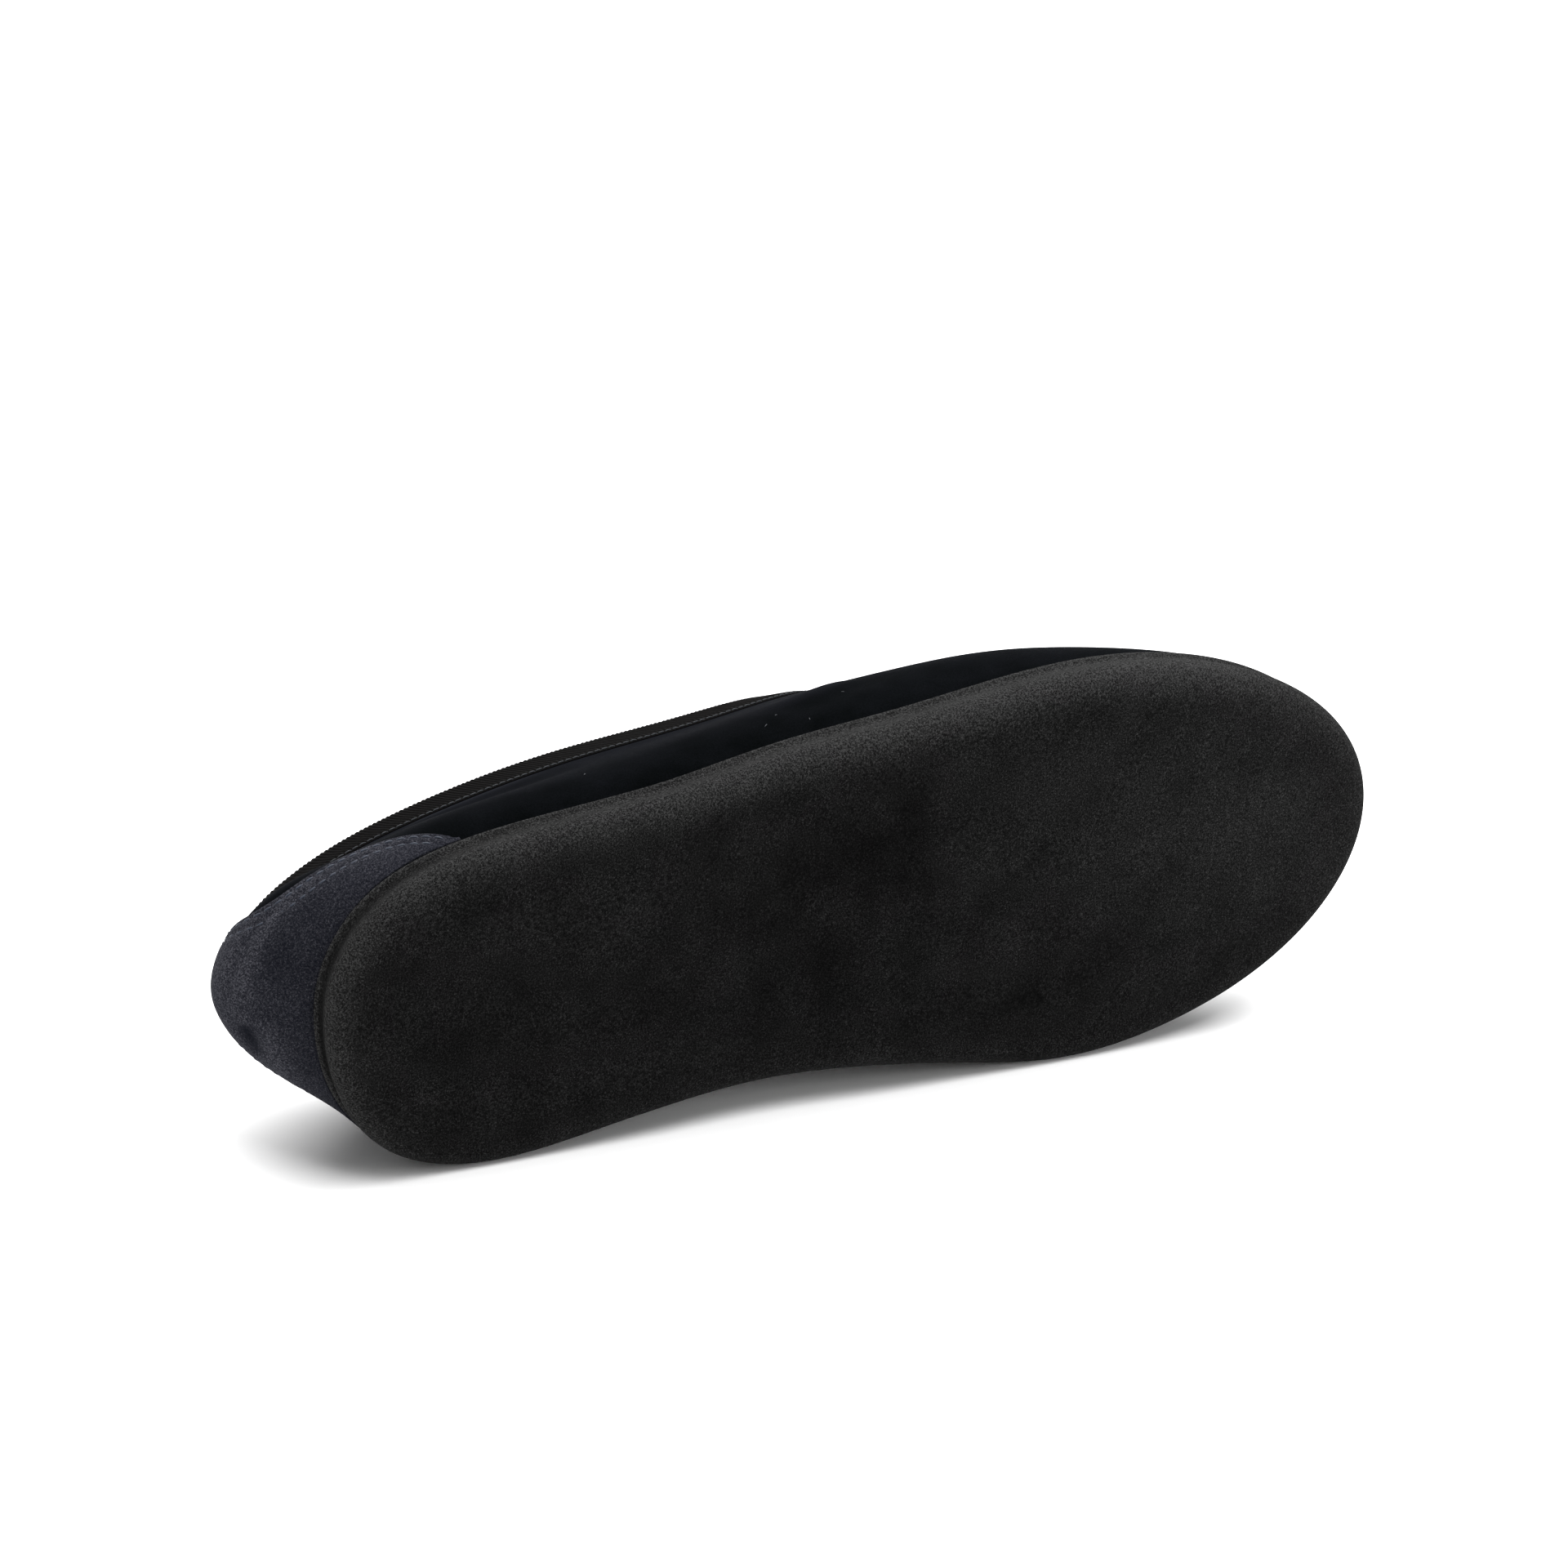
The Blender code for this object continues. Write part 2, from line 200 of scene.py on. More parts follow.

# Painted light on the velvet at shares of the way from the sole up to the ribbon: painted shade low down by
# the sole, painted sheen up towards the ribbon
VELVET_PAINTED_SHADING = ((0.0, 0.3, 0.7, 1.0), (-0.25, -0.2, -0.08, 0.12))

# Painted light that a millimetre of crease gives: painted highlight on the velvet's ridges, painted shade in
# the velvet's troughs, and both on the counter's creases
RIDGE_HIGHLIGHT = 0.45
TROUGH_SHADE = 0.14
COUNTER_CREASE_SHADING = 0.28

# Creases of the counter, in the same columns
COUNTER_CREASES = (
    CREASE_COLUMNS,
    (17.0, 0.21, 7.0, 0.166, -3.0, 0.23, 1.3, 0.9),
    (13.0, 0.34, 6.0, 0.30, -1.0, 0.31, 5.0, 0.3),
    (14.0, 0.255, 6.0, 0.215, -1.0, 0.27, 1.6, -0.4),
    (-3.2, 0.21, -5.5, 0.20, -8.5, 0.20, 2.2, -1.3),
    (-2.5, 0.11, -8.5, 0.13, -16.0, 0.14, 2.6, 0.7),
    (24.0, 0.12, 10.0, 0.11, 0.0, 0.12, 3.0, -0.25),
)

# Painted shade on the counter at shares up the wall: darker along the sole, where shade falls between counter
# and sole, lighter at the back
COUNTER_PAINTED_SHADE = (
    (0.0, 0.05, 0.12, 0.165, 0.19, 0.23, 0.4, 1.0),
    (-0.13, -0.10, -0.06, -0.03, 0.02, 0.02, 0.03, 0.03),
)

# Counter: the rounding of its edge and the share of its thickness left there, the pucker along a row of
# stitches, the width kept clear of creases, the deepest crease, the least thickness and its seat
EDGE_ROUNDING = 0.9 * MM
EDGE_THIN = 0.25
PUCKER_DEPTH = 0.3 * MM
PUCKER_WIDTH = 0.7 * MM
CREASE_CLEAR = 6 * MM
CREASE_DEEPEST = 0.6 * MM
COUNTER_LEAST = 0.2 * MM
COUNTER_SEAT = 0.6 * GAP

# Stitches: part of a half wave that they swell by and their dip at both ends in widths; then those of the
# counter: how far they sink in, where they stop over the sole and how much of a pitch shows
STITCH_SWELL = (0.12, 0.88)
STITCH_DIP = 0.5
STITCH_SINK = 0.2 * MM
STITCH_STOP = 1.6 * MM
STITCH_FILL = 0.78

# Ribbon: steps up its outer leg with how far each is pressed on the velvet in gaps, steps down its inner leg
# and its thinner edges; then the thread's distance from the lower edge, lift and share of a pitch
RIBBON_OUTER = ((0.0, 1.6), (0.06, 1.0), (0.2, 0.2), (0.4, 0.0), (0.6, 0.0), (0.8, 0.0))
RIBBON_INNER = (0.3, 0.65, 1.0)
RIBBON_EDGE_THIN = (0.3, 0.7)
RIBBON_END_THIN = 0.5
EDGE_INSET = 0.5 * MM
EDGE_LIFT = 0.2 * MM
EDGE_FILL = 0.9

# Side of the insole: inset in mm and share of its thickness; then the heel's dish in it
INSOLE_SIDE = ((0.6, 0.0), (0.1, 0.15), (0.0, 0.5), (0.2, 0.8), (0.7, 0.95), (1.6, 1.0))
DISH_DEPTH = 0.5 * MM
DISH_PLACE = 0.2
DISH_ALONG = 45 * MM
DISH_ACROSS = 22 * MM

# Nap of the sole: middle and half lengths of each stroked patch in mm, its turn in degrees and its tone
NAP_PATCHES = (
    ("x", "y", "along", "across", "turn", "tone"),
    (144, -23, 5.5, 10.0, -8, -0.075),
    (131, -13, 14.0, 8.0, 24, -0.045),
    (120, 12, 22.0, 9.0, 10, -0.015),
    (212, -12, 38.0, 30.0, 0, 0.05),
    (250, 0, 26.0, 26.0, 0, 0.06),
    (178, -30, 20.0, 7.0, 14, 0.03),
    (190, 22, 24.0, 9.0, -12, -0.035),
    (102, -4, 40.0, 24.0, 4, -0.035),
    (74, -12, 22.0, 10.0, 20, 0.03),
    (34, 8, 16.0, 12.0, 0, -0.02),
    (96, 8, 12.0, 7.0, -30, 0.02),
)

# Light rim of the sole: nap stretched over its rounded edge and painted highlight, strongest on the outer
# side that faces up to the overhead light and faint on the shaded inner side; its tone at degrees around from
# the heel, and its fade inward
RIM_NAP_AND_HIGHLIGHT = (
    (0, 35, 65, 125, 145, 170, 235, 325, 360),
    (0.15, 0.20, 0.27, 0.44, 0.24, 0.11, 0.08, 0.10, 0.15),
)
RIM_FADE = 5.2 * MM

# Length from the heel over which the painted light of the sole's side fades: highlight on ridge and rolled
# edge, shade in the groove
PAINTED_SIDE_FADE = 60 * MM

# Dents of the padded tread, in mm
TREAD_DENTS = (
    ("x", "y", "along", "across", "turn", "depth"),
    (145, -21, 5.0, 10.0, -8, 0.35),
    (131, -12, 14.0, 8.0, 24, 0.30),
    (70, 2, 26.0, 18.0, 0, -0.25),
    (200, -4, 36.0, 26.0, 0, -0.30),
)

# Half width of the floor in m, and width of the camera's sensor in mm
FLOOR_REACH = 6.0
SENSOR_WIDTH = 36

# Softboxes: place and aim in m, size in m
SOFTBOXES = (
    ("name", "x", "y", "z", "aim_x", "aim_y", "aim_z", "size"),
    ("softbox_over", 0.5, 0.6, 2.6, 0.1, 0.4, 0.0, 4.4),
    ("softbox_front", 0.75, -0.8, 0.35, 0.1, 0.0, 0.05, 0.5),
)


def linear(code):
    """Linear colour of an sRGB hex code."""
    parts = [int(code[at:at + 2], 16) / 255 for at in (1, 3, 5)]
    return tuple(part / 12.92 if part <= 0.04045 else ((part + 0.055) / 1.055) ** 2.4 for part in parts)


def length_setting(name, description, default):
    """Property of a length."""
    return FloatProperty(name=name, description=description, default=default, min=0, unit="LENGTH",
                         precision=5)


def colour_setting(name, description, code):
    """Property of a colour, given as an sRGB hex code."""
    return FloatVectorProperty(name=name, description=description, default=linear(code), subtype="COLOR",
                               size=3, min=0, max=1)


class SlipperSizes(bpy.types.PropertyGroup):
    """Sizes of the sewn and woven details."""
    velvet: length_setting("Velvet", "Thickness of velvet and interlining", 1.1 * MM)
    rib_pitch: length_setting("Rib pitch", "Distance between the ribbon's ribs", 1.15 * MM)
    rib_height: length_setting("Rib height", "Height of a rib over the ribbon", 0.22 * MM)
    stitch_pitch: length_setting("Stitch pitch", "Length of one counter stitch and its gap", 2.7 * MM)
    stitch_width: length_setting("Stitch width", "Thickness of the counter's thread", 0.55 * MM)
    stitch_first: length_setting("First row", "Distance of the first stitch row from the edge", 1.3 * MM)
    stitch_second: length_setting("Second row", "Distance of the second stitch row from the edge", 3.4 * MM)
    edge_pitch: length_setting("Edge pitch", "Length of one stitch on the ribbon's edge", 1.9 * MM)
    edge_width: length_setting("Edge width", "Thickness of the thread on the ribbon's edge", 0.34 * MM)
    nap_grain: length_setting("Nap grain", "Width of a tuft of the suede's nap", 0.42 * MM)
    pile_grain: length_setting("Pile grain", "Width of a tuft of the velvet's pile", 0.35 * MM)


class SlipperColours(bpy.types.PropertyGroup):
    """Colours of the slipper's materials."""
    sole_dark: colour_setting("Sole, low", "Suede of the sole between its tufts", "#020202")
    sole_light: colour_setting("Sole, high", "Suede of the sole on its tufts", "#383838")
    counter_dark: colour_setting("Counter, low", "Suede of the counter between its tufts", "#090b12")
    counter_light: colour_setting("Counter, high", "Suede of the counter on its tufts", "#49494f")
    velvet: colour_setting("Velvet", "Pile seen from above", "#010202")
    # Lighter colour of the painted sheen on pile seen aslant and of painted highlights on crease ridges
    velvet_painted_sheen: colour_setting("Velvet, laid", "Pile seen from the side", "#131418")
    ribbon: colour_setting("Ribbon", "Warp of the ribbon", "#030303")
    # Lighter colour of the painted highlight on each rib's crown
    ribbon_crown_highlight: colour_setting("Ribbon rib", "Crown of a rib", "#070505")
    thread: colour_setting("Thread", "Sewing thread", "#29303e")
    # Light colour of the edge thread, which also paints the highlight along the ribbon's lower edge
    edge: colour_setting("Edge thread", "Thread along the ribbon's lower edge", "#1d2329")
    lining: colour_setting("Lining", "Twill inside the quarters", "#17181b")
    sock: colour_setting("Sock", "Felted sock on the insole", "#1b1c20")
    lint: colour_setting("Lint", "Loose fibres on the velvet", "#3a3d42")
    floor: colour_setting("Floor", "Paper of the floor", "#f8f8f8")


class SlipperStage(bpy.types.PropertyGroup):
    """Camera and light."""
    aim: FloatVectorProperty(name="Aim", description="Middle of the picture, in the shoe's own frame",
                             default=(113.5 * MM, -34.4 * MM, 5.9 * MM), size=3, subtype="TRANSLATION")
    eye: FloatVectorProperty(name="Eye", description="Direction to the camera, in the shoe's own frame",
                             default=(-0.5082, -0.3837, -0.7710), size=3, subtype="DIRECTION")
    upright: FloatVectorProperty(name="Upright", description="Up in the picture, in the shoe's own frame",
                                 default=(0.1521, -0.9212, 0.3581), size=3, subtype="DIRECTION")
    distance: length_setting("Distance", "From the camera to the middle of the picture", 1.3)
    lens: FloatProperty(name="Lens", description="Focal length", default=135.43, unit="CAMERA")
    over: FloatProperty(name="Over", description="Power of the overhead softbox", default=265, unit="POWER")
    front: FloatProperty(name="Front", description="Power of the front softbox", default=4, unit="POWER")
    sky: FloatProperty(name="Surround", description="Strength of the white surround", default=0.4)


# The last: curves through the tables, the sole's plan and the upper's wall

def unit(vectors):
    """Vectors brought to a length of 1."""
    return vectors / np.linalg.norm(vectors, axis=-1, keepdims=True)


def distance_along(line):
    """Distance of every point of a line from its start."""
    return np.concatenate([[0], np.linalg.norm(np.diff(line, axis=0), axis=1).cumsum()])


def smooth_curve(knots, values, level_ends):
    """Cubic curve through one column of a table, its ends level or running straight out."""
    knots = np.asarray(knots, float)
    values = np.asarray(values, float)
    step = np.diff(knots)
    slope = np.diff(values) / step
    count = len(knots)
    system = np.eye(count)
    target = np.zeros(count)
    for row in range(1, count - 1):
        system[row, row - 1] = step[row - 1]
        system[row, row] = 2 * (step[row - 1] + step[row])
        system[row, row + 1] = step[row]
        target[row] = 6 * (slope[row] - slope[row - 1])
    if level_ends:
        system[0, :2] = (2 * step[0], step[0])
        target[0] = 6 * slope[0]
        system[-1, -2:] = (step[-1], 2 * step[-1])
        target[-1] = -6 * slope[-1]
    bend = np.linalg.solve(system, target)

    def read(at):
        piece = np.clip(np.searchsorted(knots, at) - 1, 0, count - 2)
        left = at - knots[piece]
        right = knots[piece + 1] - at
        width = step[piece]
        ends = (bend[piece] * right ** 3 + bend[piece + 1] * left ** 3) / (6 * width)
        start = (values[piece] / width - bend[piece] * width / 6) * right
        stop = (values[piece + 1] / width - bend[piece + 1] * width / 6) * left
        return ends + start + stop

    return read


def columns(table, scales, across):
    """Curves over the foot's angle for each column of a table; those across the foot run out at its ends."""
    names = table[0]
    rows = np.array(table[1:])
    knots = np.arccos(1 - 2 * rows[:, 0])
    curves = {}
    for index, name in enumerate(names[1:], start=1):
        curves[name] = smooth_curve(knots, rows[:, index] * scales.get(name, MM), name not in across)
    return curves


def rows_of(table):
    """Rows of a table, each as a dictionary by column name."""
    return [dict(zip(table[0], row)) for row in table[1:]]


SOLE = columns(SOLE_SECTIONS, {}, ("inner", "outer"))
UPPER = columns(UPPER_SECTIONS, {"fall": math.radians(1)}, ("top_half",))


def foot_angle(turn):
    """Turn around the outline, 0 to 2 pi from heel to toe and back, as an angle from heel to toe."""
    turn = np.mod(turn, 2 * math.pi)
    return math.pi - np.abs(math.pi - turn), turn <= math.pi


def outline(turn, inset=0.0):
    """Plan of the sole at a turn, moved inward by an inset, with its outward direction."""
    def plain(at):
        angle, outer = foot_angle(at)
        along = LENGTH * (1 - np.cos(angle)) / 2
        aside = np.where(outer, -SOLE["outer"](angle), SOLE["inner"](angle))
        return np.stack([along, aside], -1)

    run = unit(plain(turn + SMALL_STEP) - plain(turn - SMALL_STEP))
    outward = np.stack([run[..., 1], -run[..., 0]], -1)
    return plain(turn) - inset * outward, outward


def tread_lift(along):
    """Height of the tread above the floor line: arch and toe spring."""
    share = along / LENGTH
    toe = np.clip((share - TOE_SPRING_START) / (1 - TOE_SPRING_START), 0, 1)
    waist = np.clip((share - ARCH_SPAN[0]) / (ARCH_SPAN[1] - ARCH_SPAN[0]), 0, 1)
    return TOE_SPRING * toe ** 2 + ARCH_RISE * np.sin(math.pi * waist) ** 2


def wall(turns, shares):
    """Outer face of the upper: share 0 is the feather edge on the sole, share 1 the topline."""
    turns, shares = np.broadcast_arrays(np.asarray(turns, float), np.asarray(shares, float))
    angle, outer = foot_angle(turns)
    column = {name: curve(angle) for name, curve in UPPER.items()}
    plan, outward = outline(turns, FEATHER_INSET)
    height = SOLE_THICKNESS + GAP + tread_lift(plan[..., 0])
    foot = np.concatenate([plan, height[..., None]], -1)
    side = np.where(outer, -1.0, 1.0)
    top = np.stack([column["top_x"], column["top_mid"] + side * column["top_half"], column["top_z"]], -1)
    bulge = np.where(outer, column["bulge_out"], column["bulge_in"])
    foot_steer = foot.copy()
    foot_steer[..., :2] += outward * bulge[..., None]
    foot_steer[..., 2] += column["rise"]
    away = unit(foot[..., :2] - top[..., :2])
    top_steer = top.copy()
    top_steer[..., :2] += away * (column["lead"] * np.cos(column["fall"]))[..., None]
    top_steer[..., 2] -= column["lead"] * np.sin(column["fall"])
    share = shares[..., None]
    rest = 1 - share
    return (rest ** 3 * foot + 3 * rest ** 2 * share * foot_steer
            + 3 * rest * share ** 2 * top_steer + share ** 3 * top)


def wall_runs(turns, shares):
    """Small steps on the upper's wall, around the foot and up to the topline."""
    along = wall(turns + SMALL_STEP, shares) - wall(turns - SMALL_STEP, shares)
    upward = wall(turns, shares + SMALL_STEP) - wall(turns, shares - SMALL_STEP)
    return along, upward


def wall_normal(turns, shares):
    """Outward direction of the upper's wall."""
    return unit(np.cross(*wall_runs(turns, shares)))


def lifted(turns, shares, lift):
    """Face of the upper moved out along its own direction by a lift."""
    lift = np.asarray(lift, float)
    return wall(turns, shares) + wall_normal(turns, shares) * lift[..., None]


def share_below_topline(turns, width):
    """Share up the wall that lies a given width below the topline."""
    steps = np.linspace(1, 0, WIDTH_STEPS)
    line = wall(turns[:, None], steps[None, :])
    length = np.linalg.norm(np.diff(line, axis=1), axis=2).cumsum(axis=1)
    return np.array([np.interp(width, row, steps[1:]) for row in length])


def around(count):
    """Turns of a mesh around the sole, closer together at heel and toe."""
    return np.arange(count) * 2 * math.pi / count


def nearest(points, line):
    """Distance of every point from a line of points, and the share along the line where it is nearest."""
    flat = points.reshape(-1, 3)
    best = np.full(len(flat), np.inf)
    at = np.zeros(len(flat))
    for index, sample in enumerate(line):
        gap = np.linalg.norm(flat - sample, axis=1)
        closer = gap < best
        best[closer] = gap[closer]
        at[closer] = index / (len(line) - 1)
    return best.reshape(points.shape[:-1]), at.reshape(points.shape[:-1])


def crease_lift(points, table):
    """Lift of soft ridges and troughs laid on the wall by a table of creases."""
    total = np.zeros(points.shape[:-1])
    steps = np.linspace(0, 1, CREASE_STEPS)
    weights = {"a": (1 - steps) ** 2, "c": steps ** 2, "b": 2 * steps * (1 - steps)}
    for row in rows_of(table):
        turn, up = (sum(weight * row[f"{name}_{end}"] for end, weight in weights.items())
                    for name in ("around", "up"))
        gap, at = nearest(points, wall(np.radians(turn), up))
        fade = 1 - (2 * at - 1) ** 4
        total += row["height"] * MM * fade * np.exp(-(gap / (row["width"] * MM)) ** 2)
    return total


def patch_weight(x, y, row):
    """Weight of a soft oval patch on the tread, 1 in its middle."""
    turn = math.radians(row["turn"])
    right = x / MM - row["x"]
    ahead = y / MM - row["y"]
    along = (right * math.cos(turn) + ahead * math.sin(turn)) / row["along"]
    across = (ahead * math.cos(turn) - right * math.sin(turn)) / row["across"]
    return np.exp(-(along ** 2 + across ** 2))


def velvet_lift(turns, shares, bound):
    """Lift of the velvet's creases, and with its slack added; both fade out at the sole and at the ribbon."""
    crease = crease_lift(wall(turns, shares), VELVET_CREASES)
    slack = sum(np.sin(about * turns + up * shares + start) for about, up, start in SLACK_WAVES)
    ends = np.sin(np.clip(shares / bound, 0, 1) * math.pi) ** 0.5
    return crease, ends * (crease + SLACK * slack)


# Laying: the shoe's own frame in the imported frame, from the mount on the heel's tread

def laying():
    """Turn and shift from the shoe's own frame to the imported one, read from the mount on the tread."""
    found = [mount for mount in frame["record"]["mounts"] if mount["name"] == "heel_tread"]
    if not found:
        raise RuntimeError("the record has no mount named heel_tread")
    up = unit(-np.array(found[0]["axis"], float))
    ahead = unit(np.array([up[2], 0, -up[0]]))
    turn = np.column_stack([ahead, np.cross(up, ahead), up])
    return turn, np.array(found[0]["pos_m"], float) - turn @ HEEL_TREAD


TURN, SHIFT = laying()


# Mesh making

def band_faces(rows, count, closed=True):
    """Four-sided faces between neighbouring rows of points."""
    near = np.arange((rows - 1) * count).reshape(rows - 1, count)
    side = np.roll(near, -1, axis=1)
    if not closed:
        near = near[:, :-1]
        side = side[:, :-1]
    faces = np.stack([near, side, side + count, near + count], -1)
    return faces.reshape(-1, 4).tolist()


def add_piece(name, points, faces, material, node, tones=None):
    """Mesh object of one piece, laid in the frame, that rides on the body and, where a CAD node is given,
    hides that node's part in its place.
    """
    placed = np.asarray(points).reshape(-1, 3) @ TURN.T + SHIFT
    mesh = bpy.data.meshes.new(name)
    mesh.from_pydata(placed.tolist(), [], faces)
    if mesh.validate():
        raise RuntimeError(f"{name} has broken faces")
    work = bmesh.new()
    work.from_mesh(mesh)
    bmesh.ops.recalc_face_normals(work, faces=work.faces)
    work.to_mesh(mesh)
    work.free()
    mesh.shade_smooth()
    # Per-point tone: stroked nap on the sole, and painted highlights and painted shade on the pieces
    if tones is not None:
        layer = mesh.attributes.new("tone_and_painted_light", "FLOAT", "POINT")
        layer.data.foreach_set("value", np.asarray(tones, np.float32).ravel())
    mesh.materials.append(material)
    piece = bpy.data.objects.new(name, mesh)
    bpy.context.collection.objects.link(piece)
    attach(piece, "root")
    if node:
        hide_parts(node)
    return piece


def add_shell(name, outer, inner, closed, material, node, slot, tones=None):
    """Piece with a wall between two sheets of points, its tones on the outer one."""
    rows, count = outer.shape[:2]
    half = rows * count
    sheet = band_faces(rows, count, closed)
    faces = sheet + [[half + at for at in face] for face in sheet]
    steps = np.arange(half).reshape(rows, count)
    ends = [] if closed else [steps[:, 0], steps[:, -1]]
    if closed:
        steps = np.column_stack([steps, steps[:, 0]])
    for rim in (steps[0], steps[-1], *ends):
        pairs = zip(rim.tolist(), rim[1:].tolist())
        faces += [[near, side, half + side, half + near] for near, side in pairs]
    if tones is not None:
        tones = np.concatenate([tones.ravel(), np.zeros(half)])
    add_piece(name, np.concatenate([outer, inner]), faces, material, node, tones)


def slab(side, count, across, face_lift):
    """Points and faces of a slab with the sole's plan: rings up its side, a filled face below and above."""
    turns = around(count)
    points = []
    for inset, height in side:
        plan, _ = outline(turns, inset)
        points.extend(np.column_stack([plan, height + tread_lift(plan[:, 0])]))
    faces = band_faces(len(side), count)
    half = count // 2
    for first, height, sign in ((0, side[0][1], 1), ((len(side) - 1) * count, side[-1][1], 0)):
        rows = []
        for at in range(1, half):
            outer = first + at
            inner = first + count - at
            rows.append([outer, *range(len(points), len(points) + across - 1), inner])
            for share in np.arange(1, across) / across:
                middle = (1 - share) * points[outer] + share * points[inner]
                middle[2] = height + tread_lift(middle[0]) + sign * face_lift(middle[0], middle[1])
                points.append(middle)
        for near, far in zip(rows, rows[1:]):
            for step in range(across):
                faces.append([near[step], far[step], far[step + 1], near[step + 1]])
        for step in range(across):
            faces.append([first, rows[0][step], rows[0][step + 1]])
            faces.append([first + half, rows[-1][step], rows[-1][step + 1]])
    return np.array(points), faces


def join_meshes(meshes):
    """Points and faces of several small meshes as one."""
    points = []
    faces = []
    for mesh_points, mesh_faces in meshes:
        first = len(points)
        points.extend(mesh_points)
        faces.extend([first + at for at in face] for face in mesh_faces)
    return np.array(points), faces


def stitch_row(line, normals, pitch, width, fill):
    """Points and faces of one row of sewn stitches along a line of points."""
    reach = distance_along(line)
    count = int(reach[-1] / pitch)
    steps = np.arange(STITCH_RINGS * STITCH_SIDES).reshape(STITCH_RINGS, STITCH_SIDES).tolist()
    shell = band_faces(STITCH_RINGS, STITCH_SIDES) + [steps[0], steps[-1]]
    angle = np.arange(STITCH_SIDES)[:, None] * 2 * math.pi / STITCH_SIDES
    swell = np.sin(np.linspace(*STITCH_SWELL, STITCH_RINGS) * math.pi) ** 0.5
    dip = np.linspace(-1, 1, STITCH_RINGS) ** 4 * STITCH_DIP
    stitches = []
    for stitch in range(count):
        at = stitch * reach[-1] / count + pitch * fill * np.linspace(0, 1, STITCH_RINGS)
        middle, out = (np.column_stack([np.interp(at, reach, axis) for axis in values.T])
                       for values in (line, normals))
        out = unit(out)
        aside = np.cross(unit(np.gradient(middle, axis=0)), out)
        rings = aside[:, None] * np.cos(angle) + out[:, None] * np.sin(angle)
        rings *= (width / 2 * swell)[:, None, None]
        rings += (middle - out * (width * dip)[:, None])[:, None]
        stitches.append((rings.reshape(-1, 3), shell))
    return join_meshes(stitches)


# Materials

def add_node(tree, kind, settings, links):
    """Node of a material with its settings and its links."""
    node = tree.nodes.new("ShaderNode" + kind)
    for name, value in settings.items():
        if isinstance(name, int) or name in node.inputs:
            node.inputs[name].default_value = value
        else:
            setattr(node, name, value)
    for name, source in links.items():
        tree.links.new(source, node.inputs[name])
    return node


def new_material(name):
    """Empty node material with its tree and the place of a point on the object."""
    material = bpy.data.materials.new(name)
    material.use_nodes = True
    tree = material.node_tree
    return material, tree, add_node(tree, "TexCoord", {}, {}).outputs["Object"]


def set_shader(tree, tone, dark, light, height, relief, **values):
    """Shader coloured from dark to light by a tone, with relief from a height and constant values."""
    shader = tree.nodes["Principled BSDF"]
    colour = add_node(tree, "Mix", {"data_type": "RGBA", 6: (*dark, 1), 7: (*light, 1)}, {0: tone})
    tree.links.new(colour.outputs[2], shader.inputs["Base Color"])
    if relief:
        bump = add_node(tree, "Bump", relief, {"Height": height})
        tree.links.new(bump.outputs["Normal"], shader.inputs["Normal"])
    for name, value in values.items():
        shader.inputs[name.replace("_", " ")].default_value = value


def plain_material(name, pattern, settings, colour, low, relief, **values):
    """Material of one colour, darker in the hollows of a pattern that also gives its relief."""
    material, tree, place = new_material(name)
    grain = add_node(tree, pattern, settings, {"Vector": place}).outputs["Fac"]
    set_shader(tree, grain, [part * low for part in colour], colour, grain, relief, **values)
    return material


def napped_suede(name, dark, light, grain, contrast, patch_size, patch_share, level, sheen, tint):
    """Split suede, buffed on its flesh side: short fibres in tufts, no gloss, lighter where stroked, with
    painted highlights and painted shade from its per-point tone.
    """
    material, tree, place = new_material(name)
    # A tuft is a little under half a millimetre wide; its fibres are drawn at about a third of that
    tufts = add_node(tree, "TexNoise", {"Scale": 1 / grain, "Detail": 2.0, "Roughness": 0.6},
                     {"Vector": place})
    fibres = add_node(tree, "TexNoise", {"Scale": 2.6 / grain, "Detail": 1.0}, {"Vector": place})
    patches = add_node(tree, "TexNoise", {"Scale": 1 / patch_size, "Detail": 3.0}, {"Vector": place})
    # Per-point tone: stroked nap with painted highlights on rim and ridges and painted shade in groove,
    # creases and along the sole
    tone_and_light_input = add_node(tree, "Attribute", {"attribute_name": "tone_and_painted_light"}, {})
    mixed = add_node(tree, "Math", {"operation": "MULTIPLY_ADD", 1: 0.8},
                     {0: fibres.outputs["Fac"], 2: tufts.outputs["Fac"]})
    # Tufts and fibres average 0.9 together, so their sum is brought to 1 before the light flecks are raised
    centred = add_node(tree, "Math", {"operation": "MULTIPLY", 1: 1 / 0.9}, {0: mixed.outputs["Value"]})
    flecks = add_node(tree, "Math", {"operation": "POWER", 1: contrast}, {0: centred.outputs["Value"]})
    spread = add_node(tree, "Math",
                      {"operation": "MULTIPLY_ADD", 1: patch_share, 2: level - patch_share / 2},
                      {0: patches.outputs["Fac"]})
    tone_with_painted_light = add_node(tree, "Math", {"operation": "ADD", "use_clamp": True},
                       {0: spread.outputs["Value"], 1: tone_and_light_input.outputs["Fac"]})
    tone = add_node(tree, "Math", {"operation": "MULTIPLY", "use_clamp": True},
                    {0: tone_with_painted_light.outputs["Value"], 1: flecks.outputs["Value"]})
    set_shader(tree, tone.outputs["Value"], dark, light, mixed.outputs["Value"],
               {"Strength": 0.5, "Distance": grain * 0.4}, Roughness=1.0, IOR=1.45,
               Specular_IOR_Level=0.02, Sheen_Weight=sheen, Sheen_Roughness=0.5, Sheen_Tint=(*tint, 1))
    return material


